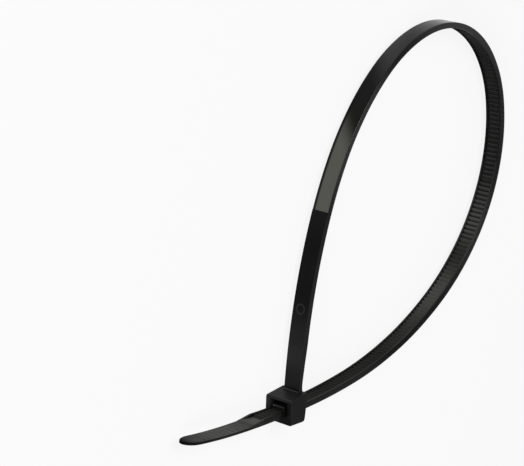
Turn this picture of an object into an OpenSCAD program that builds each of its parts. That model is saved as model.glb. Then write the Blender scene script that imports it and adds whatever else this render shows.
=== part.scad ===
// One-piece nylon cable tie, closed into a loose loop and lying on its side.
// X runs along the slot of the head, towards the loop; Y runs along the strap
// where it leaves the head; Z is the width of the strap. Millimetres.
// The head's side face is on Z = 0, with the origin at its centre.

/* [Strap] */
// Width of the strap
strap_w = 4.8; // [4.4:0.1:5.2]
// Thickness of the strap over its rails
strap_t = 1.45; // [1.35:0.05:1.7]
// Width of the plain rail on each side of the teeth
rail_w = 0.6; // [0.45:0.05:0.8]
// Height by which the plain root panel stands above the outer face
panel_rise = 0.12; // [0.05:0.01:0.2]
// Distance of the root panel from the edges of the strap
panel_inset = 0.1; // [0.1:0.05:0.4]
// Thickness of the strap where it leaves the head
root_t = 0.8; // [0.7:0.05:1]
// Length over which the strap thickens from the head to its full thickness
root_taper = 11; // [8:0.5:15]

/* [Teeth] */
// Distance from one tooth to the next
tooth_pitch = 1.2; // [1.1:0.05:1.4]
// Height of a tooth
tooth_h = 0.4; // [0.3:0.05:0.5]
// Depth of the tooth tips below the rails
tip_depth = 0.1; // [0.05:0.05:0.2]
// Plain length between the root panel and the first tooth, at least
tooth_lead = 2; // [1:0.5:6]

/* [Tail] */
// Length of toothed strap that has been pulled through, past the slot's mouth
tail_pulled = 7.4; // [5:0.2:12]
// Length of the smooth tip
tip_l = 25.4; // [22:0.2:32]
// Thickness of the smooth tip
tip_t = 0.7; // [0.6:0.05:0.9]
// Length over which the rails run out into the smooth tip
rail_fade = 4.6; // [3:0.2:6]
// Width just before the tip is rounded off
tip_end_w = 4.5; // [4:0.1:4.8]
// Length of the rounded nose
nose_l = 4.25; // [3:0.25:5]
// Number of low grip ribs on the smooth tip
grip_ribs = 8; // [4:1:12]
// Distance from one grip rib to the next
grip_pitch = 1.6; // [1.2:0.1:1.8]
// Height of a grip rib
grip_h = 0.06; // [0.04:0.01:0.12]

/* [Head] */
// Size of the head across the strap
head_w = 8.2; // [7.6:0.1:8.8]
// Size of the head along the strap that leaves it
head_l = 7.75; // [7.5:0.05:8.3]
// Size of the head along its slot, at its middle
head_d = 5.55; // [5.3:0.05:6]
// Drop of the sloping shoulder from the entry face to the exit face
shoulder_drop = 1.65; // [1.2:0.05:1.8]
// Rise of the head's underside from the exit face to the entry face
base_rise = 0.7; // [0:0.05:0.9]
// Lean of the exit face, in degrees
exit_lean = 7; // [0:0.5:10]
// Rounding of the head's corners
corner_r = 0.5; // [0.3:0.05:0.7]
// Rounding of the head's outer corner at the entry side
heel_r = 1; // [0.5:0.1:1.2]
// Hollow fillet where the strap's outer face meets the shoulder
root_fillet = 0.5; // [0.3:0.05:0.7]
// Setback of the strap's outer face from the entry face
root_setback = 1.4; // [1.3:0.05:1.6]

/* [Lock] */
// Lean of the slot from the head's own axis, in degrees
slot_lean = 10.5; // [8:0.5:12]
// Height of the strap's outer face above the head's middle at the slot's mouth
slot_offset = -0.9; // [-1.05:0.05:-0.8]
// Gap between the strap's edges and the side walls of the slot
slot_side = 0.3; // [0.15:0.05:0.4]
// Gap between the strap's faces and the slot, and beside the pawl
slot_gap = 0.12; // [0.08:0.01:0.18]
// Height of the slot's exit above the strap
exit_rise = 2; // [1.8:0.05:2.1]
// Thickness of the pawl at its free end
pawl_t = 0.6; // [0.5:0.05:0.8]
// Length of the pawl's hinge web, along the slot
hinge_l = 0.9; // [0.7:0.1:1.1]
// Distance of the hinge web from the slot's mouth
hinge_in = 0.7; // [0.5:0.1:0.9]
// Distance of the pawl's free end from the exit face
pawl_setback = 0.25; // [0.2:0.05:0.6]
// Number of teeth on the pawl
pawl_teeth = 2; // [1:1:2]
// Clearance of the pawl's teeth in the strap's teeth
mesh_gap = 0.06; // [0.04:0.01:0.1]

/* [Loop] */
// Distance from the head's centre to the far side of the loop
loop_x = 69.6; // [60:0.4:80]
// Distance from the head's centre to the top of the loop
loop_y = 91.8; // [80:0.4:105]
// Bend radius of the strap in the head and just past it
slot_bend = 320; // [280:20:600]
// Bend radius of the smooth tip
tip_bend = 150; // [100:5:400]

/* [Hidden] */

nylon = [0.09, 0.09, 0.1];
channel_w = strap_w - 2 * rail_w;
pawl_w = channel_w - 2 * slot_gap;
slot_w = strap_w + 2 * slot_side;
mid_z = head_w / 2;
entry_x = head_d / 2;
exit_x = -head_d / 2;
top_y = head_l / 2;
root_x = entry_x - root_setback;
shoulder_end = top_y - shoulder_drop;
shoulder_x = exit_x - shoulder_end * tan(exit_lean);
shoulder_slope = shoulder_drop / (entry_x - shoulder_x);
shoulder_y = top_y - root_setback * shoulder_slope;
slot_l = head_d / cos(slot_lean);
throat_gap = slot_gap + 0.1;
overlap = 0.6;
corner_steps = 6;
// Largest turn of the strap from one flat of its outline to the next
facet_turn = 1.5;

// Depths below the strap's outer face
root_depth = strap_t - tip_depth - tooth_h;
crest_depth = strap_t - tip_depth;
// A tooth's steep side and crest, as lengths along the strap
steep_l = 0.14;
crest_l = 0.2;
steep_gap = 0.05;

function along(h) = [cos(h), sin(h)];

// Stations of the strap's outer face on its way round the loop. Each has its
// place as shares of loop_x and loop_y, then its heading in degrees.
bend_stations = [
    [0.052, 0.509, 79],
    [0.176, 0.771, 60],
    [0.409, 0.957, 30],
    [0.610, 1.000, 0],
    [0.861, 0.919, -45],
    [1.000, 0.641, -90],
    [0.904, 0.377, -120],
    [0.558, 0.125, -150]
];
root_heading = 94.5;
slot_heading = -180 + slot_lean;
stations = concat(
    [concat([root_x, shoulder_y] - overlap * along(root_heading), [root_heading])],
    [for (s = bend_stations) [s[0] * loop_x, s[1] * loop_y, s[2]]],
    [[entry_x, slot_offset, slot_heading]]
);

// An arc is [x, y, heading, radius, turn]: the strap's outer face starts at
// x, y and turns clockwise, towards the toothed side.
function spot(p) = [p[0], p[1]];
function inward(h) = [sin(h), -cos(h)];
function turned(a, b) = (a - b + 540) % 360 - 180;
function chord_arc(p, h, q, h_end) =
    let (turn = turned(h, h_end))
    [p[0], p[1], h, norm(q - p) / (2 * sin(turn / 2)), turn];

// Two arcs that join one station to the next without a kink
function biarc(a, b) =
    let (
        gap = spot(b) - spot(a),
        ta = along(a[2]),
        tb = along(b[2]),
        k = 2 * (1 - ta * tb),
        m = gap * (ta + tb),
        reach = (sqrt(m * m + k * (gap * gap)) - m) / k,
        qa = spot(a) + reach * ta,
        qb = spot(b) - reach * tb,
        mid = (qa + qb) / 2,
        h_mid = atan2(qb[1] - qa[1], qb[0] - qa[0])
    )
    [chord_arc(spot(a), a[2], mid, h_mid), chord_arc(mid, h_mid, spot(b), b[2])];

function arc_length(arc) = arc[3] * arc[4] * PI / 180;
function arc_centre(arc) = spot(arc) + arc[3] * inward(arc[2]);
function arc_point(arc, s, depth) =
    let (h = arc[2] - s / arc[3] * 180 / PI)
    arc_centre(arc) - (arc[3] - depth) * inward(h);
function arc_after(arc, radius, length) =
    let (p = arc_point(arc, arc_length(arc), 0))
    [p[0], p[1], arc[2] - arc[4], radius, length / radius * 180 / PI];

loop_arcs = [for (i = [0:len(stations) - 2]) each biarc(stations[i], stations[i + 1])];
root_arcs = [loop_arcs[0], loop_arcs[1]];
bent_arcs = [for (i = [2:len(loop_arcs) - 1]) loop_arcs[i]];
lock_arc = arc_after(loop_arcs[len(loop_arcs) - 1], slot_bend, slot_l + tail_pulled);
tip_arc_a = arc_after(lock_arc, slot_bend, tip_l / 3);
tip_arc_b = arc_after(tip_arc_a, tip_bend, tip_l * 2 / 3);
toothed_arcs = concat(bent_arcs, [lock_arc]);
tip_arcs = [tip_arc_a, tip_arc_b];
all_arcs = concat(root_arcs, toothed_arcs, tip_arcs);

// Distances along the strap's outer face, from the root
arc_starts = [for (i = 0, s = 0; i < len(all_arcs); s = s + arc_length(all_arcs[i]), i = i + 1) s];
panel_end = arc_starts[len(root_arcs)];
slot_start = arc_starts[len(loop_arcs)];
toothed_end = arc_starts[len(root_arcs) + len(toothed_arcs)];
fade_end = toothed_end + rail_fade;
tip_end = toothed_end + tip_l;

// The teeth stand where the pawl's free end closes on one of them
pawl_end = slot_start + slot_l - pawl_setback;
teeth_to_pawl = floor((pawl_end - panel_end - tooth_lead) / tooth_pitch);
tooth_start = pawl_end - teeth_to_pawl * tooth_pitch;
tooth_count = floor((toothed_end - tooth_start - steep_l) / tooth_pitch);

function arc_index(s) = max([for (i = [0:len(arc_starts) - 1]) if (arc_starts[i] <= s) i]);
function strap_point(s, depth) =
    let (i = arc_index(s))
    arc_point(all_arcs[i], s - arc_starts[i], depth);

// One tooth's outline, moved along the strap and towards the inner side
function tooth_outline(k, shift, lift) =
    let (s = tooth_start + k * tooth_pitch + shift)
    [
        strap_point(s, root_depth + lift),
        strap_point(s + steep_l, crest_depth + lift),
        strap_point(s + steep_l + crest_l, crest_depth + lift)
    ];

// Outline with rounded corners: points, each with its own radius
function rounded(points, radii) = [
    for (i = [0:len(points) - 1])
        let (
            n = len(points),
            p = points[i],
            a = points[(i + n - 1) % n] - p,
            b = points[(i + 1) % n] - p,
            ua = a / norm(a),
            ub = b / norm(b),
            half = acos(ua * ub) / 2,
            r = radii[i],
            c = p + (ua + ub) / norm(ua + ub) * r / sin(half),
            from = p + ua * r / tan(half) - c,
            side = cross(from, p + ub * r / tan(half) - c) > 0 ? 1 : -1,
            sweep = side * (180 - 2 * half)
        )
        for (j = [0:corner_steps])
            let (t = sweep * j / corner_steps)
            c + [from[0] * cos(t) - from[1] * sin(t), from[0] * sin(t) + from[1] * cos(t)]
];

// Points along a run of arcs, at one depth below the strap's outer face
function run_points(arcs, depth) = [
    for (i = [0:len(arcs) - 1])
        let (arc = arcs[i], n = ceil(arc[4] / facet_turn), last = i == len(arcs) - 1 ? 0 : 1)
        for (j = [0:n - last])
            arc_point(arc, arc_length(arc) * j / n, depth)
];
function reversed(points) = [for (i = [len(points) - 1:-1:0]) points[i]];

// A stretch of strap between two depths, as one outline given its width
module band(arcs, top, bottom, width) {
    translate([0, 0, mid_z - width / 2])
        linear_extrude(width)
            polygon(concat(run_points(arcs, top), reversed(run_points(arcs, bottom))));
}

// What lies above a run of places on the strap, one outline given its width
air_depth = strap_t + overlap;
air_step = 3 * tooth_pitch;
module air_above(floor_points, s_from, s_to, width) {
    back = [for (s = [s_to:-air_step:s_from]) strap_point(s, air_depth)];
    translate([0, 0, mid_z - width / 2])
        linear_extrude(width)
            polygon(concat(floor_points, back, [strap_point(s_from, air_depth)]));
}

// The channel between the rails, with the teeth left standing in it
module tooth_channel() {
    last = tooth_start + tooth_count * tooth_pitch;
    teeth = [for (k = [0:tooth_count - 1]) each tooth_outline(k, 0, 0)];
    plain = [strap_point(last, root_depth), strap_point(fade_end, root_depth)];
    air_above(concat(teeth, plain), tooth_start, fade_end, channel_w);
}

// The strap thickens from the head on, on its inner side
module root_thinning() {
    steps = 8;
    growth = (strap_t - root_t) / root_taper;
    end = overlap + root_taper;
    slope = [
        for (i = [0:steps])
            let (s = end * i / steps)
            strap_point(s, root_t + growth * (s - overlap))
    ];
    air_above(slope, 0, end, 2 * strap_w);
}

// The rails run out into the smooth tip, which is thinner
module tip_thinning() {
    steps = 12;
    past_tip = tip_end + overlap;
    face = [for (i = [0:steps]) strap_point(fade_end + (past_tip - fade_end) * i / steps, tip_t)];
    air_above(concat([strap_point(toothed_end, strap_t)], face), toothed_end, past_tip, 2 * strap_w);
}

// What lies beside the smooth tip: it narrows a little and ends in a round nose
module beside_tip() {
    start_x = strap_point(toothed_end, 0)[0];
    end_x = strap_point(tip_end, 0)[0];
    nose_x = end_x + nose_l;
    narrowing = (strap_w - tip_end_w) / 2 / (start_x - nose_x);
    a = strap_w / 2 + overlap * narrowing;
    b = tip_end_w / 2;
    nose = [for (t = [-90:10:90]) [nose_x - nose_l * cos(t), b * sin(t)]];
    translate([0, -strap_w * 4, mid_z])
        rotate([-90, 0, 0])
            linear_extrude(strap_w * 8)
                difference() {
                    translate([end_x - strap_w, -strap_w])
                        square([start_x + overlap - end_x + strap_w, 2 * strap_w]);
                    polygon(concat(
                        [[start_x + 2 * overlap, -a], [start_x + overlap, -a]],
                        nose,
                        [[start_x + overlap, a], [start_x + 2 * overlap, a]]
                    ));
                }
}

// Low ribs across the smooth tip, which give the fingers a grip
module grip_rib(k) {
    first = toothed_end + tip_l * 0.3;
    s = first + k * grip_pitch;
    rib_l = grip_pitch * 0.4;
    rib_top = rib_l * 0.4;
    rib_side = (rib_l - rib_top) / 2;
    rib_w = tip_end_w - 2 * rail_w;
    translate([0, 0, mid_z - rib_w / 2])
        linear_extrude(rib_w)
            polygon([
                strap_point(s, tip_t - grip_h),
                strap_point(s + rib_side, tip_t + grip_h),
                strap_point(s + rib_side + rib_top, tip_t + grip_h),
                strap_point(s + rib_l, tip_t - grip_h)
            ]);
}

module strap() {
    difference() {
        band(all_arcs, 0, strap_t, strap_w);
        tooth_channel();
        root_thinning();
        tip_thinning();
        beside_tip();
    }
    band(root_arcs, -panel_rise, root_t / 2, strap_w - 2 * panel_inset);
    for (k = [0:grip_ribs - 1]) grip_rib(k);
}

// Side view of the head: a sloping shoulder on top and an underside that rises
module head_side() {
    past_exit = 0.02;
    foot_x = exit_x + top_y * tan(exit_lean);
    linear_extrude(head_w)
        polygon(rounded(
            [
                [entry_x, -top_y + base_rise],
                [entry_x, top_y],
                [shoulder_x - past_exit, shoulder_end],
                [foot_x - past_exit, -top_y]
            ],
            [heel_r, corner_r / 2, corner_r, corner_r / 2]
        ));
}

// Head seen along its slot: rounded at all four corners
module head_front() {
    rotate([90, 0, 90])
        linear_extrude(2 * head_d, center = true)
            polygon(rounded(
                [[-top_y, 0], [top_y, 0], [top_y, head_w], [-top_y, head_w]],
                [corner_r, corner_r, corner_r, corner_r]
            ));
}

// Head seen along the strap, from one face on: rounded at that face's edges
module head_plan(face_x, edge_r) {
    back_x = face_x - sign(face_x) * 2 * head_d;
    rotate([90, 0, 0])
        linear_extrude(2 * head_l, center = true)
            polygon(rounded(
                [[face_x, 0], [face_x, head_w], [back_x, head_w], [back_x, 0]],
                [edge_r, edge_r, edge_r, edge_r]
            ));
}

// A place in the slot: distance in from its mouth, and height above the strap
function in_slot(x, y) =
    [entry_x, slot_offset] + x * along(slot_heading) + (strap_t + y) * inward(slot_heading);

module slot_cut() {
    before = -2;
    past = slot_l + 2;
    floor_y = -strap_t - slot_gap;
    hinge_end = hinge_in + hinge_l;
    roof_chamfer = 0.5;
    translate([0, 0, mid_z - slot_w / 2])
        linear_extrude(slot_w)
            polygon([
                in_slot(before, floor_y),
                in_slot(past, floor_y),
                in_slot(past, exit_rise),
                in_slot(hinge_end + roof_chamfer, exit_rise),
                in_slot(hinge_end, exit_rise - roof_chamfer),
                in_slot(hinge_end, throat_gap),
                in_slot(before, throat_gap)
            ]);
}

// The pawl: a tongue that hangs from its hinge web, with its teeth in the strap's
module pawl() {
    first = teeth_to_pawl - pawl_teeth;
    last = teeth_to_pawl - 1;
    under = [for (k = [last:-1:first]) each [for (i = [2, 1, 0]) tooth_outline(k, -steep_gap, mesh_gap)[i]]];
    tip_s = pawl_end - steep_gap;
    lead_in = 0.5;
    heel_s = tip_s - pawl_teeth * tooth_pitch - lead_in;
    hinge_top = exit_rise - 0.4;
    translate([0, 0, mid_z - pawl_w / 2])
        linear_extrude(pawl_w)
            polygon(concat(
                [in_slot(hinge_in, throat_gap), in_slot(hinge_in, hinge_top)],
                [in_slot(hinge_in + hinge_l, hinge_top)],
                [strap_point(tip_s, strap_t + pawl_t), strap_point(tip_s, root_depth + mesh_gap)],
                under,
                [strap_point(heel_s, strap_t + slot_gap)]
            ));
}

// Hollow fillet that blends the strap's outer face into the shoulder
module root_blend() {
    r = root_fillet;
    steps = 6;
    foot = [root_x - panel_rise, shoulder_y - panel_rise * shoulder_slope];
    arc = [for (i = [0:steps]) foot + [-r + r * sin(90 * i / steps), r - r * cos(90 * i / steps)]];
    translate([0, 0, mid_z - strap_w / 2 + panel_inset])
        linear_extrude(strap_w - 2 * panel_inset)
            polygon(concat(
                [foot + [-r, -r * shoulder_slope - overlap]],
                arc,
                [foot + [overlap, r], foot + [overlap, -overlap]]
            ));
}

module head() {
    difference() {
        intersection() {
            head_side();
            head_front();
            head_plan(entry_x, corner_r);
            rotate([0, 0, exit_lean])
                head_plan(exit_x * cos(exit_lean), corner_r / 2);
        }
        slot_cut();
    }
    pawl();
    root_blend();
}

module cable_tie() {
    color(nylon) {
        strap();
        head();
    }
}

cable_tie();
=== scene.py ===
# %% [markdown]
# # A nylon cable tie, closed into a loose loop
# The real tie is moulded straight and flat, in one shot of black nylon, and it
# is only bent when somebody closes it. This lesson works in the same order: the
# strap is modelled straight, with its teeth, and a curve then bends it round the
# loop. The head, which never bends, is modelled where it lies. Lengths are
# written in millimetres and turned into metres where Blender gets them.

from math import atan2, cos, degrees, floor, pi, radians, sin, sqrt, tan

import bmesh
import bpy
from mathutils import Matrix, Vector


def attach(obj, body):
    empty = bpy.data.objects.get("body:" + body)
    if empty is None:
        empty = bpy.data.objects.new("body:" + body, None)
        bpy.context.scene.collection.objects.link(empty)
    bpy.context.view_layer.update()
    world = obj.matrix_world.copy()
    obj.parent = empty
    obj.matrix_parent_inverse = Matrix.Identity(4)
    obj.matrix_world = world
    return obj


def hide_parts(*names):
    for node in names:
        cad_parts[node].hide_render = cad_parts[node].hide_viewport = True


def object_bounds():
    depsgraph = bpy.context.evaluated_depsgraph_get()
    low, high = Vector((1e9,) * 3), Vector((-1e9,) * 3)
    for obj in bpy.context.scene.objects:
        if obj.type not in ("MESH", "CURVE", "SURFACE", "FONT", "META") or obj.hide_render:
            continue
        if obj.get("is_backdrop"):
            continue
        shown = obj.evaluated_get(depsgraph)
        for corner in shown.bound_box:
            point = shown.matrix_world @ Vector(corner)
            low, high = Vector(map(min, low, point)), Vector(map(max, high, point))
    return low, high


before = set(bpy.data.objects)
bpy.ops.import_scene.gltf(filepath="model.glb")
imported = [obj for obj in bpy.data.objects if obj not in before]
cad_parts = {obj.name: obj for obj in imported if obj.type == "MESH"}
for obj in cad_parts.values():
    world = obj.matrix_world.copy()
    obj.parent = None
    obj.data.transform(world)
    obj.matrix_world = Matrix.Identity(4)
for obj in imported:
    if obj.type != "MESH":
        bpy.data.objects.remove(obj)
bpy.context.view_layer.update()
mm = 0.001

# %% [markdown]
# ## Sizes of the tie
# These are the sizes of a tie that is 4.8 mm wide and 300 mm long. X runs along
# the slot of the head, Y along the strap where it leaves the head, and Z across
# the strap. The tie lies on its side, so the middle of the strap's width is half
# a head's width above the floor.

# %% Sizes of the tie, in millimetres
strap_w, strap_t, rail_w = 4.8, 1.45, 0.6
panel_rise, panel_inset, root_t, root_taper = 0.12, 0.1, 0.8, 11.0
tooth_pitch, tooth_h, tip_depth, tooth_lead = 1.2, 0.4, 0.1, 2.0
steep_l, crest_l, ramp_cut = 0.14, 0.2, 0.72
tail_pulled, tip_l, tip_t, rail_fade = 7.4, 25.4, 0.7, 4.6
tip_end_w, nose_l, nose_trim = 4.5, 4.25, 0.03
grip_ribs, grip_pitch, grip_h = 8, 1.6, 0.03
head_w, head_l, head_d, shoulder_drop = 8.2, 7.75, 5.55, 1.65
base_rise, exit_lean = 0.7, 7.0
corner_r, heel_r, root_fillet, root_setback = 0.5, 1.0, 0.5, 1.4
slot_lean, slot_offset, slot_side, slot_gap, exit_rise = 10.5, -0.9, 0.3, 0.12, 2.0
pawl_t, hinge_l, hinge_in, pawl_setback = 0.6, 0.9, 0.7, 0.25
pawl_teeth, mesh_gap, steep_gap = 2, 0.06, 0.05
loop_x, loop_y, slot_bend, tip_bend = 69.6, 91.8, 320, 150
root_heading, overlap = 94.5, 0.6
edge_r, rail_r = 0.1, 0.05

mid_z = head_w / 2
entry_x, exit_x, top_y = head_d / 2, -head_d / 2, head_l / 2
root_x = entry_x - root_setback
exit_slope = tan(radians(exit_lean))
shoulder_end = top_y - shoulder_drop
shoulder_x = exit_x - shoulder_end * exit_slope
shoulder_slope = shoulder_drop / (entry_x - shoulder_x)
shoulder_y = top_y - root_setback * shoulder_slope
slot_l = head_d / cos(radians(slot_lean))
throat_gap = slot_gap + 0.1
tooth_floor = strap_t - tip_depth - tooth_h
tooth_crest = strap_t - tip_depth
edge_low, edge_high = mid_z - strap_w / 2, mid_z + strap_w / 2
channel_w = strap_w - 2 * rail_w
print("Head, mm:", head_d, "by", head_l, "by", head_w, "- strap:", strap_w, "by", strap_t)

# %% [markdown]
# ## The line that the strap follows
# Nylon that is bent by hand takes an even curve, with no kink and no straight
# stretch. Two arcs between each pair of stations give that: they share their
# heading where they meet. A station is a place on the strap's outer face and the
# direction in which the strap runs there.

# %% Stations and arcs of the bent strap
bend_stations = [
    (0.052, 0.509, 79), (0.176, 0.771, 60), (0.409, 0.957, 30), (0.610, 1.000, 0),
    (0.861, 0.919, -45), (1.000, 0.641, -90), (0.904, 0.377, -120), (0.558, 0.125, -150),
]


def heading(h):
    return Vector((cos(radians(h)), sin(radians(h))))


def inward(h):
    return Vector((sin(radians(h)), -cos(radians(h))))


def chord_arc(start, h, end, h_end):
    turn = (h - h_end + 540) % 360 - 180
    return start, h, (end - start).length / (2 * sin(radians(turn / 2))), turn


def two_arcs(a, b):
    """Two arcs that join one station to the next without a kink."""
    (pa, ha), (pb, hb) = a, b
    ta, tb, gap = heading(ha), heading(hb), pb - pa
    k = 2 * (1 - ta.dot(tb))
    m = gap.dot(ta + tb)
    reach = (sqrt(m * m + k * gap.dot(gap)) - m) / k
    qa, qb = pa + reach * ta, pb - reach * tb
    mid = (qa + qb) / 2
    h_mid = degrees(atan2(qb.y - qa.y, qb.x - qa.x))
    return [chord_arc(pa, ha, mid, h_mid), chord_arc(mid, h_mid, pb, hb)]


def arc_length(arc):
    return arc[2] * radians(arc[3])


def arc_point(arc, s, depth=0.0):
    start, h, radius, turn = arc
    centre = start + radius * inward(h)
    return centre - (radius - depth) * inward(h - degrees(s / radius))


def arc_after(arc, radius, length):
    return arc_point(arc, arc_length(arc)), arc[1] - arc[3], radius, degrees(length / radius)


slot_heading = slot_lean - 180
stations = [(Vector((root_x, shoulder_y)) - overlap * heading(root_heading), root_heading)]
stations += [(Vector((x * loop_x, y * loop_y)), h) for x, y, h in bend_stations]
stations += [(Vector((entry_x, slot_offset)), slot_heading)]
arcs = []
for a, b in zip(stations, stations[1:]):
    arcs += two_arcs(a, b)
panel_end = sum(arc_length(arc) for arc in arcs[:2])
slot_start = sum(arc_length(arc) for arc in arcs)
arcs.append(arc_after(arcs[-1], slot_bend, slot_l + tail_pulled))
toothed_end = sum(arc_length(arc) for arc in arcs)
arcs.append(arc_after(arcs[-1], slot_bend, tip_l / 3))
arcs.append(arc_after(arcs[-1], tip_bend, tip_l * 2 / 3))
strap_l = sum(arc_length(arc) for arc in arcs)
pawl_end = slot_start + slot_l - pawl_setback
teeth_to_pawl = floor((pawl_end - panel_end - tooth_lead) / tooth_pitch)
tooth_start = pawl_end - teeth_to_pawl * tooth_pitch
tooth_count = floor((toothed_end - tooth_start - steep_l) / tooth_pitch)
last_tooth_end = tooth_start + tooth_count * tooth_pitch
fade_end = toothed_end + rail_fade
print("Strap, mm:", round(strap_l, 1), "with", tooth_count, "teeth after", round(tooth_start, 1))


def strap_point(s, depth):
    """A place in the bent strap, by its distance from the root and its depth."""
    for arc in arcs:
        if s <= arc_length(arc) or arc is arcs[-1]:
            return arc_point(arc, s, depth)
        s -= arc_length(arc)


# %% [markdown]
# ## Helpers for modelling in code
# An operator acts on all that is selected, and there is no mouse here. So each
# piece is made alone in the selection, and its faces, edges or points are picked
# by where they are or which way they face.

# %% Starting a piece and picking its parts
def start_clean():
    if bpy.context.mode != "OBJECT":
        bpy.ops.object.mode_set(mode="OBJECT")
    bpy.ops.object.select_all(action="DESELECT")


def only(piece, mode="OBJECT"):
    start_clean()
    piece.select_set(True)
    bpy.context.view_layer.objects.active = piece
    if mode != "OBJECT":
        bpy.ops.object.mode_set(mode=mode)


def place(part):
    """Middle of a point, edge or face, in millimetres."""
    points = [part.co] if isinstance(part, bmesh.types.BMVert) else [v.co for v in part.verts]
    return sum(points, Vector()) / len(points) / mm


def pick(piece, kind, test):
    """Select only the parts of one kind that pass the test."""
    bpy.ops.mesh.select_mode(type=kind)
    bpy.ops.mesh.select_all(action="DESELECT")
    shape = bmesh.from_edit_mesh(piece.data)
    parts = {"FACE": shape.faces, "EDGE": shape.edges, "VERT": shape.verts}[kind]
    chosen = [part for part in parts if test(part)]
    for part in chosen:
        part.select_set(True)
    shape.select_flush_mode()
    bmesh.update_edit_mesh(piece.data)
    return len(chosen)


def faces(piece):
    """Number of faces, also while the piece is being edited."""
    piece.update_from_editmode()
    return len(piece.data.polygons)


def block(name, low, high):
    """A closed box between two corners, as the start of a piece."""
    start_clean()
    low, high = Vector(low) * mm, Vector(high) * mm
    bpy.ops.mesh.primitive_cube_add(size=1, location=(low + high) / 2)
    piece = bpy.context.object
    piece.name = piece.data.name = name
    piece.scale = high - low
    bpy.ops.object.transform_apply(location=True, rotation=True, scale=True)
    return piece


def prism(name, outline, low, high):
    """A flat outline in X and Y, drawn with a filled circle's points and drawn out in Z."""
    start_clean()
    bpy.ops.mesh.primitive_circle_add(vertices=len(outline), fill_type="NGON")
    piece = bpy.context.object
    piece.name = piece.data.name = name
    for vert, (x, y) in zip(piece.data.vertices, outline):
        vert.co = Vector((x, y, low)) * mm
    only(piece, "EDIT")
    bpy.ops.mesh.select_all(action="SELECT")
    bpy.ops.mesh.extrude_region_move(TRANSFORM_OT_translate={"value": (0, 0, (high - low) * mm)})
    bpy.ops.mesh.select_all(action="SELECT")
    bpy.ops.mesh.normals_make_consistent(inside=False)
    bpy.ops.object.mode_set(mode="OBJECT")
    return piece


def slice_at(where, direction):
    """Cut edges all round the piece where a plane crosses it."""
    bpy.ops.mesh.select_all(action="SELECT")
    bpy.ops.mesh.bisect(plane_co=Vector(where) * mm, plane_no=direction)


def sharp(edge, angle=60):
    return edge.is_manifold and edge.calc_face_angle() > radians(angle)


def apply_modifier(piece, kind, **settings):
    only(piece)
    modifier = piece.modifiers.new(kind.title(), kind)
    for name, value in settings.items():
        setattr(modifier, name, value)
    bpy.ops.object.modifier_apply(modifier=modifier.name)


def join(name, *parts):
    start_clean()
    for part in parts:
        part.select_set(True)
    bpy.context.view_layer.objects.active = parts[0]
    bpy.ops.object.join()
    parts[0].name = parts[0].data.name = name
    return parts[0]


# %% [markdown]
# ## The toothed strap, one pitch at a time
# A tie's teeth are a ratchet: a steep side that the pawl locks against, a narrow
# crest, and a long ramp that lets the pawl ride over. They stand in a channel
# between two plain rails. All pitches are alike, so one is modelled from a box,
# open at both ends, and an array repeats it and merges each to the next.

# %% One pitch of the strap
def strap_section(name, s_from, s_to):
    """A stretch of strap with its channel and soft edges, open at both ends."""
    piece = block(name, (s_from, -strap_t, edge_low), (s_to, 0, edge_high))
    only(piece, "EDIT")
    pick(piece, "FACE", lambda f: abs(f.normal.x) > 0.9)
    bpy.ops.mesh.delete(type="FACE")
    pick(piece, "EDGE", sharp)
    bpy.ops.mesh.bevel(offset=edge_r * mm, segments=3, affect="EDGES")
    for z in (edge_low + rail_w, edge_high - rail_w):
        slice_at((0, 0, z), (0, 0, 1))
    in_channel = lambda p: abs(p.z - mid_z) < channel_w / 2 + 0.01
    pick(piece, "FACE", lambda f: f.normal.y < -0.9 and in_channel(place(f)))
    bpy.ops.mesh.extrude_region_move(
        TRANSFORM_OT_translate={"value": (0, (strap_t - tooth_floor) * mm, 0)}
    )
    pick(piece, "FACE", lambda f: abs(f.normal.x) > 0.9)
    bpy.ops.mesh.delete(type="FACE")
    pick(piece, "EDGE", lambda e: sharp(e) and place(e).y < -strap_t + 0.01 and in_channel(place(e)))
    bpy.ops.mesh.bevel(offset=rail_r * mm, segments=2, affect="EDGES")
    return piece


def close_ends(piece, *ends):
    """Fill the open ends of a stretch of strap."""
    only(piece, "EDIT")
    for end in ends:
        pick(piece, "EDGE", lambda e: e.is_boundary and abs(place(e).x - end) < 0.02)
        bpy.ops.mesh.edge_face_add()


pitch = strap_section("strap", tooth_start, tooth_start + tooth_pitch)
print("Section of the strap:", faces(pitch), "faces")

# %% The tooth in that pitch
for x in (steep_l, steep_l + crest_l, ramp_cut):
    slice_at((tooth_start + x, 0, 0), (1, 0, 0))


def on_floor(vert):
    p = place(vert)
    return abs(p.y + tooth_floor) < 0.01 and abs(p.z - mid_z) < channel_w / 2 + 0.01


def tooth_height(x):
    """Height of the tooth above its root, at a distance into the pitch."""
    if x < steep_l:
        return tooth_h * x / steep_l
    return tooth_h * min(1, (tooth_pitch - x) / (tooth_pitch - steep_l - crest_l))


for x in (steep_l, steep_l + crest_l, ramp_cut):
    pick(pitch, "VERT", lambda v: on_floor(v) and abs(place(v).x - tooth_start - x) < 0.01)
    bpy.ops.transform.translate(value=(0, -tooth_height(x) * mm, 0))
pick(pitch, "EDGE", lambda e: e.is_manifold and e.calc_face_angle() > radians(15)
     and abs((e.verts[0].co - e.verts[1].co).x) < 0.01 * mm
     and -tooth_crest - 0.01 < place(e).y < -tooth_crest + 0.01)
bpy.ops.mesh.bevel(offset=0.05 * mm, segments=2, affect="EDGES")
apply_modifier(pitch, "ARRAY", count=tooth_count, use_relative_offset=False,
               use_constant_offset=True, constant_offset_displace=(tooth_pitch * mm, 0, 0),
               use_merge_vertices=True, merge_threshold=0.002 * mm)
toothed = bpy.context.object
close_ends(toothed, tooth_start, last_tooth_end)
print("Toothed strap:", faces(toothed), "faces")

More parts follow.
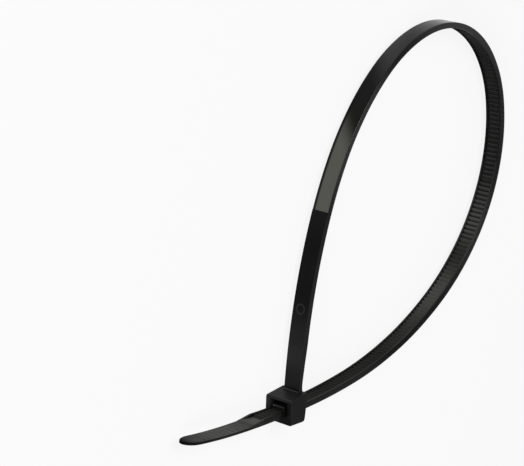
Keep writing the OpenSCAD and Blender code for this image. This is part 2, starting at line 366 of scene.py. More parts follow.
# %% [markdown]
# ## The plain root with its raised panel
# Next to the head the strap has no teeth. Its outer face carries a low flat
# panel there, which ends in a line across the strap. The panel is inset from the
# face of a bevelled box and raised. The box is then cut into short slices, so
# that it can bend, and the slices near the head are thinned on the inner side.

# %% The root of the strap
root = block("root", (0, -strap_t, edge_low), (tooth_start, 0, edge_high))
only(root, "EDIT")
pick(root, "EDGE", lambda e: sharp(e) and abs(place(e).x - tooth_start / 2) < 0.01)
bpy.ops.mesh.bevel(offset=edge_r * mm, segments=3, affect="EDGES")
slice_at((panel_end + 0.04, 0, 0), (1, 0, 0))
pick(root, "FACE", lambda f: f.normal.y > 0.9 and place(f).x < panel_end)
bpy.ops.mesh.inset(thickness=0.02 * mm, depth=0)
bpy.ops.mesh.extrude_region_move(TRANSFORM_OT_translate={"value": (0, panel_rise * mm, 0)})
pick(root, "EDGE", lambda e: sharp(e) and place(e).y > panel_rise - 0.01)
bpy.ops.mesh.bevel(offset=0.07 * mm, segments=2, affect="EDGES")
for i in range(1, int(tooth_start)):
    slice_at((i, 0, 0), (1, 0, 0))
for i in range(int(root_taper) + 1):
    thinner = (strap_t - root_t) * (1 - (i - overlap) / root_taper)
    pick(root, "VERT", lambda v: abs(place(v).x - i) < 0.01 and place(v).y < -strap_t / 2)
    bpy.ops.transform.translate(value=(0, thinner * mm, 0))
print("Root:", faces(root), "faces")

# %% [markdown]
# ## Where the teeth stop
# Past the last tooth the two rails slope down, until all of the strap is as thin
# as the smooth tip. The same section is drawn out for this stretch, cut into
# slices, and its points on the toothed side are then lowered by their distance.

# %% The rails run out
def tip_width(s):
    return strap_w - (strap_w - tip_end_w) * max(0, s - toothed_end) / (tip_l - nose_l)


def rail_top(s):
    """Height of the rails above the outer face, at a distance along the strap."""
    return strap_t - (strap_t - tip_t) * max(0, s - toothed_end) / rail_fade


runout = strap_section("runout", last_tooth_end, fade_end)
floor_lost = toothed_end + rail_fade * (strap_t - tooth_floor) / (strap_t - tip_t)
for s in [toothed_end, floor_lost] + [toothed_end + 0.5 * i for i in range(1, int(2 * rail_fade))]:
    slice_at((s, 0, 0), (1, 0, 0))
close_ends(runout, last_tooth_end, fade_end)
only(runout)
for v in runout.data.vertices:
    s, y, z = v.co / mm
    channel_floor = -min(tooth_floor, rail_top(s))
    if y < -strap_t / 2:
        lowered = y + strap_t - rail_top(s) if y < -tooth_floor - 0.1 else channel_floor
        if abs(z - mid_z) < channel_w / 2 + rail_r + 0.01:
            lowered = min(lowered, channel_floor)
        v.co.y = lowered * mm
    v.co.z = (mid_z + (z - mid_z) * tip_width(s) / strap_w) * mm
print("Run-out of the rails:", faces(runout), "faces")

# %% [markdown]
# ## The smooth tip
# The tip narrows a little to a rounded nose that finds the slot. It starts as a
# box whose end is narrowed, then drawn out and rounded with one wide bevel, which
# is stretched to the nose's length. Very low ribs across it give the fingers a
# grip: one is shaped and an array copies it.

# %% The tip and its nose
nose_x = strap_l - nose_l
tip = block("tip", (fade_end, -tip_t, mid_z - tip_width(fade_end) / 2),
            (nose_x, 0, mid_z + tip_width(fade_end) / 2))
only(tip, "EDIT")
pick(tip, "FACE", lambda f: f.normal.x > 0.9)
bpy.ops.transform.resize(value=(1, 1, tip_end_w / tip_width(fade_end)),
                         center_override=Vector((nose_x, -tip_t / 2, mid_z)) * mm)
bpy.ops.mesh.extrude_region_move(
    TRANSFORM_OT_translate={"value": (tip_end_w / 2 * mm, 0, 0)}
)
pick(tip, "EDGE", lambda e: sharp(e) and abs(place(e).y + tip_t / 2) < 0.01 and place(e).x > nose_x + 0.1)
bpy.ops.mesh.bevel(offset=tip_end_w / 2 * 0.999 * mm, segments=12, affect="EDGES")
pick(tip, "VERT", lambda v: place(v).x > nose_x + 0.01)
bpy.ops.transform.resize(value=((nose_l - nose_trim) / (tip_end_w / 2), 1, 1),
                         center_override=Vector((nose_x, -tip_t / 2, mid_z)) * mm)
pick(tip, "EDGE", lambda e: sharp(e) and abs(place(e).y + tip_t / 2) > tip_t / 2 - 0.01
     and place(e).x > fade_end + 0.01)
bpy.ops.mesh.bevel(offset=edge_r * mm, segments=3, affect="EDGES")
for i in range(1, int(strap_l - fade_end)):
    slice_at((fade_end + i, 0, 0), (1, 0, 0))
print("Tip:", faces(tip), "faces")

# %% The grip ribs
rib_s = toothed_end + tip_l * 0.3
rib_l, rib_w = grip_pitch * 0.4, tip_end_w - 2 * rail_w
ribs = block("grip", (rib_s, -tip_t - grip_h, mid_z - rib_w / 2),
             (rib_s + rib_l, -tip_t + grip_h, mid_z + rib_w / 2))
only(ribs, "EDIT")
pick(ribs, "VERT", lambda v: place(v).y < -tip_t)
bpy.ops.transform.resize(value=(0.4, 1, 1), center_override=Vector((rib_s + rib_l / 2, 0, 0)) * mm)
pick(ribs, "EDGE", lambda e: place(e).y < -tip_t + 0.01)
bpy.ops.mesh.bevel(offset=0.02 * mm, segments=2, affect="EDGES")
apply_modifier(ribs, "ARRAY", count=grip_ribs, use_relative_offset=False,
               use_constant_offset=True, constant_offset_displace=(grip_pitch * mm, 0, 0))
print("Ribs:", faces(ribs), "faces")

# %% [markdown]
# ## Bending the strap round the loop
# The straight strap keeps its straight coordinates in an attribute first, so
# that the finish can follow the strap however it bends. Then a curve through
# close points of the arcs bends it: distance along X becomes distance along the
# curve, and depth stays depth, as in a real strap. Past the head the free end
# twists by a few degrees, which is the tilt of the curve's points. The end rises
# by as much as its lower edge would sink, and its nose was made a hair shorter, so
# that it stays inside the part's box.

# %% The bend and the twist of the free end
tail_twist = -4.0
tail_lift = Vector((0, 0.115))
strap = join("strap", toothed, root, runout, tip, ribs)
flat = strap.data.attributes.new("flat", "FLOAT_VECTOR", "POINT")
flat.data.foreach_set("vector", [x for v in strap.data.vertices for x in v.co])
strap.data.transform(Matrix.Translation((0, 0, -mid_z * mm)))
steps = 900
exit_s = slot_start + slot_l
route = bpy.data.curves.new("route", "CURVE")
route.dimensions = "3D"
route.twist_mode = "Z_UP"
line = route.splines.new("POLY")
line.points.add(steps)
for i, point in enumerate(line.points):
    s = strap_l * i / steps
    share = min(1, max(0, (s - exit_s) / (fade_end - exit_s)))
    share *= share * (3 - 2 * share)
    x, y = strap_point(s, 0) + share * tail_lift
    point.co = (x * mm, y * mm, mid_z * mm, 1)
    point.tilt = radians(tail_twist) * share
guide = bpy.data.objects.new("route", route)
bpy.context.scene.collection.objects.link(guide)
apply_modifier(strap, "CURVE", object=guide, deform_axis="POS_X")
bpy.data.objects.remove(guide)
worst = 0
for v, straight in zip(strap.data.vertices, strap.data.attributes["flat"].data):
    s, y, z = straight.vector / mm
    if 0 <= s <= exit_s:
        worst = max(worst, (v.co.xy / mm - strap_point(s, -y)).length, abs(v.co.z / mm - z))
print("Bent strap is within", round(worst, 3), "mm of its arcs")

# %% [markdown]
# ## The head
# The head is a small rounded box with a sloping shoulder behind the strap, an
# exit face that leans a little and an underside that rises. All of its edges are
# soft, but not equally, so each edge gets a bevel weight, which is its own radius
# as a share of the largest one.

# %% The head's block
head = block("head", (exit_x, -top_y, 0), (entry_x, top_y, head_w))
corners = {
    (-1, 1): (shoulder_x, shoulder_end),
    (-1, -1): (exit_x + top_y * exit_slope, -top_y),
    (1, -1): (entry_x, -top_y + base_rise),
}
for v in head.data.vertices:
    side = (1 if v.co.x > 0 else -1, 1 if v.co.y > 0 else -1)
    if side in corners:
        v.co.x, v.co.y = (c * mm for c in corners[side])
weight = head.data.attributes.new("bevel_weight_edge", "FLOAT", "EDGE")
for edge, value in zip(head.data.edges, weight.data):
    a, b = (head.data.vertices[i].co / mm for i in edge.vertices)
    entry, low = (a.x + b.x) / 2 > 1, (a.y + b.y) / 2 < -1
    if abs(a.z - b.z) > 1:
        radius = heel_r if entry and low else corner_r / 2 if entry or low else corner_r
    elif abs(a.y - b.y) > 4:
        radius = corner_r if entry else corner_r / 2
    else:
        radius = corner_r
    value.value = radius / heel_r
apply_modifier(head, "BEVEL", limit_method="WEIGHT", width=heel_r * mm, segments=6,
               use_clamp_overlap=False)
print("Head:", faces(head), "faces")

# %% [markdown]
# ## The slot and the pawl
# The strap passes through a slot that leans a little from the head's own axis.
# Above the strap the slot opens into a room for the pawl, a tongue on a thin web
# whose teeth drop into the strap's teeth. The slot is cut with a solid of its own
# outline, and the pawl is drawn out from its side view. Where the strap's root
# leaves the head, the corner is filled by three small fillets.

# %% Cutting the slot
def in_slot(x, y):
    """A place in the slot: distance in from its mouth, and height above the strap."""
    return (Vector((entry_x, slot_offset)) + x * heading(slot_heading)
            + (strap_t + y) * inward(slot_heading))


slot_w = strap_w + 2 * slot_side
floor_y, past, hinge_end = -strap_t - slot_gap, slot_l + 2, hinge_in + hinge_l
cutter = prism("cutter", [
    in_slot(-2, floor_y), in_slot(past, floor_y), in_slot(past, exit_rise),
    in_slot(hinge_end + 0.5, exit_rise), in_slot(hinge_end, exit_rise - 0.5),
    in_slot(hinge_end, throat_gap), in_slot(-2, throat_gap),
], mid_z - slot_w / 2, mid_z + slot_w / 2)
apply_modifier(head, "BOOLEAN", object=cutter, operation="DIFFERENCE", solver="EXACT")
bpy.data.objects.remove(cutter)
only(head, "EDIT")
bpy.ops.mesh.select_all(action="SELECT")
bpy.ops.mesh.remove_doubles(threshold=0.001 * mm)


def on_face(vert):
    """Whether a point lies on the head's entry face or on its leaning exit face."""
    p = place(vert)
    return abs(p.x - entry_x) < 0.01 or abs(p.x + p.y * exit_slope - exit_x) < 0.01


def slot_rim(edge):
    p, half = place(edge), slot_w / 2 + 0.01
    inside = abs(p.z - mid_z) < half and abs(p.y) < top_y - shoulder_drop / 2
    return inside and all(on_face(v) for v in edge.verts) and sharp(edge, 45)


rim = pick(head, "EDGE", slot_rim)
bpy.ops.mesh.bevel(offset=0.12 * mm, segments=2, affect="EDGES")
print("Slot cut, with", rim, "edges eased round its mouths")

# %% The pawl
under = []
for k in range(teeth_to_pawl - 1, teeth_to_pawl - pawl_teeth - 1, -1):
    s = tooth_start + k * tooth_pitch - steep_gap
    under += [
        strap_point(s + steep_l + crest_l, tooth_crest + mesh_gap),
        strap_point(s + steep_l, tooth_crest + mesh_gap),
        strap_point(s, tooth_floor + mesh_gap),
    ]
tongue_s = pawl_end - steep_gap
heel_s = tongue_s - pawl_teeth * tooth_pitch - 0.5
pawl_w = channel_w - 2 * slot_gap
pawl = prism("pawl", [
    in_slot(hinge_in, throat_gap), in_slot(hinge_in, exit_rise - 0.4),
    in_slot(hinge_end, exit_rise - 0.4), strap_point(tongue_s, strap_t + pawl_t),
    strap_point(tongue_s, tooth_floor + mesh_gap), *under, strap_point(heel_s, strap_t + slot_gap),
], mid_z - pawl_w / 2, mid_z + pawl_w / 2)
only(pawl, "EDIT")
pick(pawl, "EDGE", lambda e: sharp(e, 30))
bpy.ops.mesh.bevel(offset=0.05 * mm, segments=2, affect="EDGES")
print("Pawl:", faces(pawl), "faces")

# %% The fillets under the root
side_w, side_h = 0.6, 1.8
foot = Vector((root_x - panel_rise, shoulder_y - panel_rise * shoulder_slope))
turns = [i / 8 * pi / 2 for i in range(9)]
hollow = [foot + root_fillet * Vector((sin(t) - 1, 1 - cos(t))) for t in turns]
fillet = prism("fillet", [
    foot + Vector((-root_fillet, -root_fillet * shoulder_slope - overlap)), *hollow,
    foot + Vector((overlap, root_fillet)), foot + Vector((overlap, -overlap)),
], edge_low + panel_inset, edge_high - panel_inset)


def side_fillet(edge, out):
    """A slim fillet beside the root, from the edge of the strap out onto the shoulder."""
    profile = [(-overlap, -overlap), (side_w, -overlap)]
    profile += [(side_w * (1 - sin(t)), side_h * (1 - cos(t))) for t in turns]
    profile += [(-overlap, side_h)]
    piece = prism("side_fillet", profile, 0.05, root_t - 0.05)
    for v in piece.data.vertices:
        away, height, depth = v.co / mm
        v.co = Vector((root_x + depth, shoulder_y + depth * shoulder_slope + height, edge + out * away)) * mm
    only(piece, "EDIT")
    bpy.ops.mesh.select_all(action="SELECT")
    bpy.ops.mesh.normals_make_consistent(inside=False)
    return piece


head = join("head", head, fillet, side_fillet(edge_low, -1), side_fillet(edge_high, 1))
print("Head with its fillets:", faces(head), "faces")

# %% [markdown]
# ## Smooth shading
# The faces that only round an edge should read as round, and the flat ones as
# flat. Shading is smooth below an angle, and weighted normals let the large
# faces decide how the small ones beside them are lit.

# %% Shading the pieces
pieces = [strap, head, pawl]
for piece in pieces:
    only(piece)
    bpy.ops.object.shade_smooth_by_angle(angle=radians(40))
    apply_modifier(piece, "WEIGHTED_NORMAL", keep_sharp=True, weight=80)
    print(piece.name, "has", sum(len(f.vertices) - 2 for f in piece.data.polygons), "triangles")

# %% [markdown]
# ## Moulded nylon
# Black nylon has almost no colour of its own. What shows is its gloss: satin on
# the moulded faces, with a very fine grain, slow waves where the plastic shrank,
# and faint flow lines along the strap. One node group makes those for all the
# finishes. It puts out a colour, a roughness and a normal, and each material
# keeps its own shader.

# %% The node group for moulded plastic
def node(tree, kind, where, **values):
    """A new node in a tree, with values for its inputs or its own settings."""
    made = tree.nodes.new(kind)
    made.location = where
    for name, value in values.items():
        if name in made.inputs:
            made.inputs[name].default_value = value
        else:
            setattr(made, name, value)
    return made


def connect(tree, *wires):
    """Join nodes: each wire is a node, its output, the next node and its input."""
    for source, output, target, entry in wires:
        tree.links.new(source.outputs[output], target.inputs[entry])


group = bpy.data.node_groups.new("moulded_plastic", "ShaderNodeTree")
for name, kind, value in [
    ("Vector", "NodeSocketVector", None), ("Dark", "NodeSocketColor", (0.01, 0.01, 0.01, 1)),
    ("Light", "NodeSocketColor", (0.02, 0.02, 0.02, 1)), ("Gloss", "NodeSocketFloat", 0.35),
    ("Spread", "NodeSocketFloat", 0.1), ("Grain", "NodeSocketFloat", 0.1),
    ("Waves", "NodeSocketFloat", 0.1), ("Flow", "NodeSocketVector", (1, 1, 1)),
]:
    socket = group.interface.new_socket(name, in_out="INPUT", socket_type=kind)
    if value is not None:
        socket.default_value = value
for name, kind in [
    ("Color", "NodeSocketColor"), ("Roughness", "NodeSocketFloat"), ("Normal", "NodeSocketVector"),
]:
    group.interface.new_socket(name, in_out="OUTPUT", socket_type=kind)
inputs = node(group, "NodeGroupInput", (-900, 0))
outputs = node(group, "NodeGroupOutput", (700, 0))
flow = node(group, "ShaderNodeVectorMath", (-650, 200), operation="MULTIPLY")
streaks = node(group, "ShaderNodeTexNoise", (-450, 200), Scale=900.0, Detail=3.0, Roughness=0.6)
patches = node(group, "ShaderNodeTexNoise", (-450, -50), Scale=110.0, Detail=4.0, Roughness=0.55)
grain = node(group, "ShaderNodeTexNoise", (-450, -300), Scale=9000.0, Detail=2.0)
tone = node(group, "ShaderNodeMix", (250, 300), data_type="RGBA")
blend = node(group, "ShaderNodeMath", (-200, 150), operation="MULTIPLY")
stretch = node(group, "ShaderNodeMapRange", (0, 150))
stretch.inputs["From Min"].default_value = 0.15
stretch.inputs["From Max"].default_value = 0.4
shift = node(group, "ShaderNodeMath", (0, -50), operation="SUBTRACT")
shift.inputs[1].default_value = 0.5
scaled = node(group, "ShaderNodeMath", (200, -50), operation="MULTIPLY_ADD")
fine = node(group, "ShaderNodeBump", (250, -300), Distance=0.00002)
slow = node(group, "ShaderNodeBump", (450, -300), Distance=0.0004)
connect(group, (inputs, "Vector", flow, 0), (inputs, "Flow", flow, 1), (flow, "Vector", streaks, "Vector"),
        (inputs, "Vector", patches, "Vector"), (inputs, "Vector", grain, "Vector"),
        (streaks, "Fac", blend, 0), (patches, "Fac", blend, 1), (blend, "Value", stretch, "Value"),
        (stretch, "Result", tone, "Factor"), (inputs, "Dark", tone, "A"), (inputs, "Light", tone, "B"),
        (stretch, "Result", shift, 0), (shift, "Value", scaled, 0), (inputs, "Spread", scaled, 1),
        (inputs, "Gloss", scaled, 2), (grain, "Fac", fine, "Height"), (inputs, "Grain", fine, "Strength"),
        (patches, "Fac", slow, "Height"), (inputs, "Waves", slow, "Strength"),
        (fine, "Normal", slow, "Normal"), (tone, "Result", outputs, "Color"),
        (scaled, "Value", outputs, "Roughness"), (slow, "Normal", outputs, "Normal"))
print("Node group:", len(group.nodes), "nodes")

# %% [markdown]
# A finish may take a list of places along the strap, each with a painted sheen:
# a specular level that paints in the highlights and reflections lying along
# the bent strap, and a ramp blends them. The places are read from the straight
# coordinates, and a slant lets the blend run across the strap askew. The mean of
# the list stays in the shader as a plain value, for a model viewer that can't
# follow the ramp.

# %% One finish of the nylon
def moulded(name, dark, light, gloss, spread, flow_scale, source="flat", specular=0.5,
            sheen=(), ior=1.53, slant=0.0, tint=(1, 1, 1), grain_depth=0.12):
    """One finish of the nylon. Its pattern follows the straight strap or the object."""
    material = bpy.data.materials.new(name)
    material.use_nodes = True
    tree = material.node_tree
    shader = tree.nodes["Principled BSDF"]
    shader.inputs["IOR"].default_value = ior
    if sheen:
        specular = sum(level for s, level in sheen) / len(sheen)
    shader.inputs["Specular IOR Level"].default_value = specular
    shader.inputs["Specular Tint"].default_value = (*tint, 1)
    finish = node(tree, "ShaderNodeGroup", (-300, 0), node_tree=group)
    for entry, value in [("Dark", (*dark, 1)), ("Light", (*light, 1)), ("Gloss", gloss), ("Spread", spread),
                         ("Grain", grain_depth), ("Waves", 0.12), ("Flow", flow_scale)]:
        finish.inputs[entry].default_value = value
    if source == "flat":
        where = node(tree, "ShaderNodeAttribute", (-800, 0), attribute_name="flat")
        connect(tree, (where, "Vector", finish, "Vector"))
    else:
        where = node(tree, "ShaderNodeTexCoord", (-800, 0))
        connect(tree, (where, "Object", finish, "Vector"))
    connect(tree, (finish, "Color", shader, "Base Color"), (finish, "Roughness", shader, "Roughness"),
            (finish, "Normal", shader, "Normal"))
    # Painted sheen: a ramp along the strap sets the specular level, painting in highlights and reflections.
    if sheen:
        along = node(tree, "ShaderNodeVectorMath", (-600, 400), operation="DOT_PRODUCT")
        along.inputs[1].default_value = (1, 0, slant)
        length = node(tree, "ShaderNodeMapRange", (-400, 400))
        length.inputs["From Min"].default_value = slant * mid_z * mm
        length.inputs["From Max"].default_value = (slant * mid_z + strap_l) * mm
        ramp = node(tree, "ShaderNodeValToRGB", (-200, 400))
        ramp.color_ramp.interpolation = "EASE"
        stops = ramp.color_ramp.elements
        while len(stops) < len(sheen):
            stops.new(0.5)
        for stop, (s, level) in zip(stops, sheen):
            stop.position = s / strap_l
            stop.color = (level, level, level, 1)
        connect(tree, (where, "Vector", along, 0), (along, "Value", length, "Value"),
                (length, "Result", ramp, "Fac"), (ramp, "Color", shader, "Specular IOR Level"))
    return material


# %% The finishes
def even(level):
    """A colour without a tint."""
    return level, level, level


black, grey = even(0.002), (0.005, 0.005, 0.0047)
along_strap, all_ways = (0.08, 1, 1), (1, 1, 1)
# The lists of places and levels below are painted sheen: they paint highlights and reflections in along the
# strap, and the warm tints go with them.
side_finish = moulded("nylon_sides", black, grey, 0.34, 0.14, along_strap, sheen=(
    (0, 0.27), (42, 0.27), (56, 0.6), (70, 0.7), (86, 0.2), (112, 0.9), (124, 0.65), (138, 0.3),
    (160, 0.2), (178, 0.4), (192, 0.2), (204, 0.14), (216, 0.12), (236, 0.28), (268, 0.25)))
inner_finish = moulded("nylon_teeth", black, grey, 0.55, 0.14, along_strap, tint=(1, 1, 0.92), sheen=(
    (0, 0.2), (118, 0.05), (130, 0.03), (151, 0.08), (162, 0.09), (166, 0.52), (175, 0.8), (184, 0.27),
    (196, 0.74), (214, 0.24), (222, 0.14), (250, 0.11), (268, 0.14)))
outer_finish = moulded("nylon_outer", black, grey, 0.22, 0.1, along_strap, ior=1.56, slant=1.1, sheen=(
    (40, 0.93), (60, 0.9), (68, 0.08), (77, 0.06), (86, 0.23), (96, 0.1), (105, 0.14), (114, 0.83),
    (122, 0.7), (130, 0.3), (260, 0.3)))
panel_finish = moulded("nylon_panel", even(0.001), even(0.003), 0.24, 0.1, along_strap, sheen=(
    (0, 0.08), (4, 0.11), (9, 0.19), (14, 0.14), (22, 0.06), (36, 0.06), (44, 0.09)))
tip_finish = moulded("nylon_tip", (0.004, 0.0039, 0.0035), (0.010, 0.0098, 0.0090), 0.45, 0.12,
                     (0.05, 1, 1), tint=(1, 1, 0.94), sheen=(
    (266, 0.32), (269, 0.3), (272, 0.18), (276, 0.26), (281, 0.22), (286, 0.1), (292, 0)))
# Painted light for the flanks and floors between the teeth, lifting the shade there.
flank_painted_light = moulded("nylon_painted_light_low", even(0.016), (0.027, 0.027, 0.026), 0.6, 0.1, along_strap,
                          specular=0.3)
# Painted shade for the low parts of the teeth just past that stretch.
flank_painted_shade = moulded("nylon_painted_shade_low", black, grey, 0.55, 0.1, along_strap, sheen=(
    (160, 0.2), (166, 0.3), (174, 0.38), (180, 0.33)))
head_finish = moulded("nylon_head", even(0.008), even(0.011), 0.6, 0.12, all_ways, "object", 0.3,
                      ior=1.36, grain_depth=0.15)
# The exit face takes a copy of the nylon with a low specular level: painted shade.
exit_painted_shade = moulded("nylon_exit_painted_shade", black, grey, 0.46, 0.12, all_ways, "object", 0.12, grain_depth=0.15)
# The fillets take a glossier copy of the nylon, a painted highlight along the root.
fillet_painted_highlight = moulded("nylon_fillet_painted_highlight", black, grey, 0.45, 0.12, all_ways, "object", 0.3, grain_depth=0.15)
# The slot's walls are far lighter than the nylon: painted light that lifts the shade inside the slot.
slot_painted_light = moulded("nylon_slot_painted_light", even(0.03), even(0.04), 0.5, 0.12, all_ways, "object")
# The pawl's copy of the nylon has a full specular level, a painted highlight on its edges.
pawl_painted_highlight = moulded("nylon_pawl_painted_highlight", even(0.006), even(0.014), 0.32, 0.1, all_ways, "object", 1.0)
print("Finishes:", [m.name for m in bpy.data.materials if m.name.startswith("nylon")])

# %% [markdown]
# Just past the panel the outer face takes a painted highlight, all but a strip by
# its far edge, which keeps a painted shade. That band is a little warm, and ends
# softly. On the panel an ejector pin left a faint ring, drawn with painted sheen,
# and the head's exit face takes painted shade towards its foot. Each of these is a
# mask on the painted sheen of its own finish.

# %% The painted highlight past the panel
band_end, band_gone = 64, 76
strip_low, strip_high, strip_sheen = edge_low + 0.55, edge_low + 1.1, 0.12
tree = outer_finish.node_tree
shader, where, ramp = tree.nodes["Principled BSDF"], tree.nodes["Attribute"], tree.nodes["Color Ramp"]
spot = node(tree, "ShaderNodeSeparateXYZ", (-600, 700))
past_band = node(tree, "ShaderNodeMapRange", (-400, 900), interpolation_type="SMOOTHSTEP")
past_band.inputs["From Min"].default_value = band_end * mm
past_band.inputs["From Max"].default_value = band_gone * mm
off_edge = node(tree, "ShaderNodeMapRange", (-400, 650), interpolation_type="SMOOTHSTEP")
off_edge.inputs["From Min"].default_value = strip_low * mm
off_edge.inputs["From Max"].default_value = strip_high * mm
off_edge.inputs["To Min"].default_value = strip_sheen
keep = node(tree, "ShaderNodeMath", (-200, 700), operation="MAXIMUM")
total = node(tree, "ShaderNodeMath", (0, 500), operation="MULTIPLY")
warmth = node(tree, "ShaderNodeMix", (0, 900), data_type="RGBA")
warmth.inputs["A"].default_value = (1, 1, 0.87, 1)
warmth.inputs["B"].default_value = (1, 1, 1, 1)
connect(tree, (where, "Vector", spot, "Vector"), (spot, "X", past_band, "Value"),
        (spot, "Z", off_edge, "Value"), (past_band, "Result", keep, 0), (off_edge, "Result", keep, 1),
        (keep, "Value", total, 0), (ramp, "Color", total, 1), (total, "Value", shader, "Specular IOR Level"),
        (past_band, "Result", warmth, "Factor"), (warmth, "Result", shader, "Specular Tint"))
print("The satin band fades out from", band_end, "to", band_gone, "mm along the strap")

# %% Painted shade on the exit face, deeper towards its foot
foot_y, bright_y, foot_sheen, bright_sheen = -2.4, 0.6, 0.05, 0.18
tree = exit_painted_shade.node_tree
spot = node(tree, "ShaderNodeSeparateXYZ", (-600, 400))
foot_shade_ramp = node(tree, "ShaderNodeMapRange", (-400, 400))
foot_shade_ramp.inputs["From Min"].default_value = foot_y * mm
foot_shade_ramp.inputs["From Max"].default_value = bright_y * mm
foot_shade_ramp.inputs["To Min"].default_value = foot_sheen
foot_shade_ramp.inputs["To Max"].default_value = bright_sheen
connect(tree, (tree.nodes["Texture Coordinate"], "Object", spot, "Vector"), (spot, "Y", foot_shade_ramp, "Value"),
        (foot_shade_ramp, "Result", tree.nodes["Principled BSDF"], "Specular IOR Level"))
print("Sheen of the exit face:", foot_sheen, "at its foot and", bright_sheen, "above")

# %% The mark of the ejector pin
pin_s, pin_r, ring_w, ring_sheen = 20.5, 1.15, 0.35, 0.16
tree = panel_finish.node_tree
shader, where, ramp = tree.nodes["Principled BSDF"], tree.nodes["Attribute"], tree.nodes["Color Ramp"]
# The pin's ring is a real mark, drawn here as a ring of painted sheen on the panel.
apart = node(tree, "ShaderNodeVectorMath", (-600, 700), operation="DISTANCE")
apart.inputs[1].default_value = (pin_s * mm, panel_rise * mm, mid_z * mm)
from_ring = node(tree, "ShaderNodeMath", (-450, 700), operation="SUBTRACT")
from_ring.inputs[1].default_value = pin_r * mm
off_ring = node(tree, "ShaderNodeMath", (-300, 700), operation="ABSOLUTE")
ring = node(tree, "ShaderNodeMapRange", (-150, 700), interpolation_type="SMOOTHSTEP")
ring.inputs["From Max"].default_value = ring_w * mm
ring.inputs["To Min"].default_value = ring_sheen
ring.inputs["To Max"].default_value = 0.0
total = node(tree, "ShaderNodeMath", (0, 500), operation="ADD")
connect(tree, (where, "Vector", apart, 0), (apart, "Value", from_ring, 0), (from_ring, "Value", off_ring, 0),
        (off_ring, "Value", ring, "Value"), (ring, "Result", total, 0), (ramp, "Color", total, 1),
        (total, "Value", shader, "Specular IOR Level"))
print("Pin mark:", 2 * pin_r, "mm across,", pin_s, "mm along the strap")

# %% [markdown]
# Each face of the strap takes its finish by its place in the straight strap: the
# panel, the rest of the outer face, the toothed face, the tip and the sides. Along
# one stretch the steep flanks and the floors between the teeth take painted light,
# which lifts the shade that falls between the teeth; just past it the low parts
# take painted shade. On the head, the exit face takes painted shade, the fillets a
# painted highlight and the walls of the slot painted light, each a finish of its own.

# %% Which face takes which finish
painted_light_from, painted_floors_from, painted_light_to, painted_shade_to = 116, 120, 163, 180
rails_with_side_sheen = 158, 210


def dress(piece, finishes, finish_of):
    """Give each face the finish that is chosen for it."""
    piece.data.materials.clear()
    for finish in finishes:
        piece.data.materials.append(finish)
    for face in piece.data.polygons:
        face.material_index = finishes.index(finish_of(face))
    counts = [sum(f.material_index == i for f in piece.data.polygons) for i in range(len(finishes))]
    print("Faces of the", piece.name, "by finish:", counts)


def toothed_face_finish(s, y, z):
    """The finish of a tooth, of the floor between two teeth or of a rail."""
    phase = (s - tooth_start) % tooth_pitch
    steep = phase < steep_l and y > -tooth_crest + 0.02
    on_teeth = abs(z - mid_z) < channel_w / 2 and y > -tooth_crest + 0.01
    low = on_teeth and (phase > ramp_cut or phase < steep_l)
    # In one stretch the steep flanks and floors take painted light; just past it the low parts take painted
    # shade.
    if (steep and painted_light_from < s < painted_light_to) or (low and painted_floors_from < s < painted_light_to):
        return flank_painted_light
    return flank_painted_shade if low and painted_light_to < s < painted_shade_to else inner_finish


def strap_finish(face):
    spots = strap.data.attributes["flat"].data
    s, y, z = sum((spots[i].vector for i in face.vertices), Vector()) / len(face.vertices) / mm
    if s > toothed_end:
        return tip_finish
    if y > -0.01:
        return panel_finish if s < panel_end + 0.05 else outer_finish
    # Along this stretch the rails take the sides' finish, whose painted sheen is lower there.
    if rails_with_side_sheen[0] < s < rails_with_side_sheen[1] and abs(z - mid_z) > channel_w / 2:
        return side_finish
    if y < -strap_t / 2 and abs(z - mid_z) < strap_w / 2 - edge_r:
        return toothed_face_finish(s, y, z)
    return side_finish


def finish_on_head(face):
    x, y, z = face.center / mm
    if face.normal.x < -0.8 and x < 0:
        return exit_painted_shade
    if face.normal.x < -0.45 and face.normal.y > 0.25:
        return fillet_painted_highlight
    # The walls of the slot take painted light.
    in_slot_width = abs(z - mid_z) < slot_w / 2 + 0.02
    if in_slot_width and abs(x) < head_d / 2 - 0.3 and abs(y) < shoulder_end - 0.3:
        return slot_painted_light
    return head_finish


dress(strap, [side_finish, panel_finish, outer_finish, tip_finish, inner_finish,
              flank_painted_light, flank_painted_shade], strap_finish)
dress(head, [head_finish, exit_painted_shade, slot_painted_light, fillet_painted_highlight], finish_on_head)
dress(pawl, [pawl_painted_highlight], lambda face: pawl_painted_highlight)

# %% [markdown]
# ## Riding on the frame
# The three pieces stand for the one solid of the CAD model, and they all move
# with its one body.

# %% The pieces ride on the part
for piece in pieces:
    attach(piece, "root")
    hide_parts("cable_tie")
print("Pieces:", [piece.name for piece in pieces])

# %% [markdown]
# ## Floor, light and camera
# The floor is plain and pale. To the camera, to gloss and to clear things it
# mostly shows white, with the tie's own shadow still in it.

# %% The floor
start_clean()
bpy.ops.mesh.primitive_plane_add(size=4, location=(0.02, 0.05, -0.00003))
ground = bpy.context.object
ground.name = "floor"
paper = bpy.data.materials.new("pale_floor")
paper.use_nodes = True
tree = paper.node_tree
shader = tree.nodes["Principled BSDF"]
shader.inputs["Base Color"].default_value = (0.85, 0.85, 0.85, 1)
shader.inputs["Roughness"].default_value = 0.9
shader.inputs["Specular IOR Level"].default_value = 0.0
glow = node(tree, "ShaderNodeEmission", (0, -300), Strength=1.0)
path = node(tree, "ShaderNodeLightPath", (-400, 300))
gloss_too = node(tree, "ShaderNodeMath", (-400, 100), operation="MAXIMUM")
clear_too = node(tree, "ShaderNodeMath", (-250, 200), operation="MAXIMUM")
seen = node(tree, "ShaderNodeMath", (-100, 300), operation="MULTIPLY")
seen.inputs[1].default_value = 0.85
mixer = node(tree, "ShaderNodeMixShader", (300, 0))
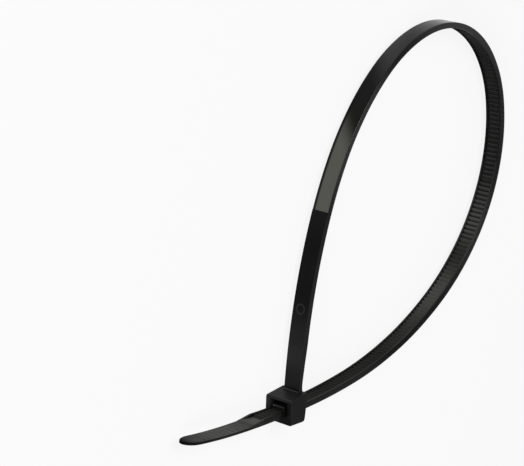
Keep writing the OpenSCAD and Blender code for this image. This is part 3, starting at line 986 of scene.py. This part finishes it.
connect(tree, (path, "Is Camera Ray", gloss_too, 0), (path, "Is Glossy Ray", gloss_too, 1),
        (gloss_too, "Value", clear_too, 0), (path, "Is Transmission Ray", clear_too, 1),
        (clear_too, "Value", seen, 0), (seen, "Value", mixer, "Fac"), (shader, "BSDF", mixer, 1),
        (glow, "Emission", mixer, 2), (mixer, "Shader", tree.nodes["Material Output"], "Surface"))
ground.data.materials.append(paper)
ground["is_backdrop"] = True

# %% The light
world = bpy.data.worlds.new("studio")
bpy.context.scene.world = world
world.use_nodes = True
sky = world.node_tree.nodes["Background"]
sky.inputs["Color"].default_value = (1, 1, 1, 1)
sky.inputs["Strength"].default_value = 0.35


def softbox(name, where, aim, size, power):
    """A square lamp that faces its aim, all in metres and watts."""
    start_clean()
    bpy.ops.object.light_add(type="AREA", location=where)
    lamp = bpy.context.object
    lamp.name = name
    lamp.data.shape = "SQUARE"
    lamp.data.size = size
    lamp.data.energy = power
    lamp.rotation_euler = (Vector(aim) - Vector(where)).to_track_quat("-Z", "Y").to_euler()
    return lamp


middle = (0.017, 0.045, 0.004)
softbox("key", (-0.25, 0.40, 0.75), middle, 0.40, 3.0)
softbox("fill", (-0.60, -0.25, 0.40), middle, 0.35, 2.0)

# %% The camera
stand = Vector((-436.909, 142.702, 364.582)) * mm
aim = Vector((0.74728, -0.1778, -0.64028)).normalized()
right = Vector((0.66214, 0.11797, 0.74004))
right = (right - right.dot(aim) * aim).normalized()
up = right.cross(aim)
bpy.ops.object.camera_add(location=stand)
camera = bpy.context.object
camera.data.sensor_width = 36
camera.data.lens = 169.79
camera.data.clip_start, camera.data.clip_end = 0.01, 10
camera.matrix_world = Matrix((
    (right.x, up.x, -aim.x, stand.x), (right.y, up.y, -aim.y, stand.y),
    (right.z, up.z, -aim.z, stand.z), (0, 0, 0, 1),
))
scene = bpy.context.scene
scene.camera = camera
scene.view_settings.view_transform = "Standard"
print("Camera stands", round((stand - Vector(middle)).length / mm), "mm away")

# %% [markdown]
# ## The visual box
# The box round the shown pieces is printed.

# %% The visual box
low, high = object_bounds()
print("Visual box, mm:", [round(x / mm, 2) for x in (*low, *high)])
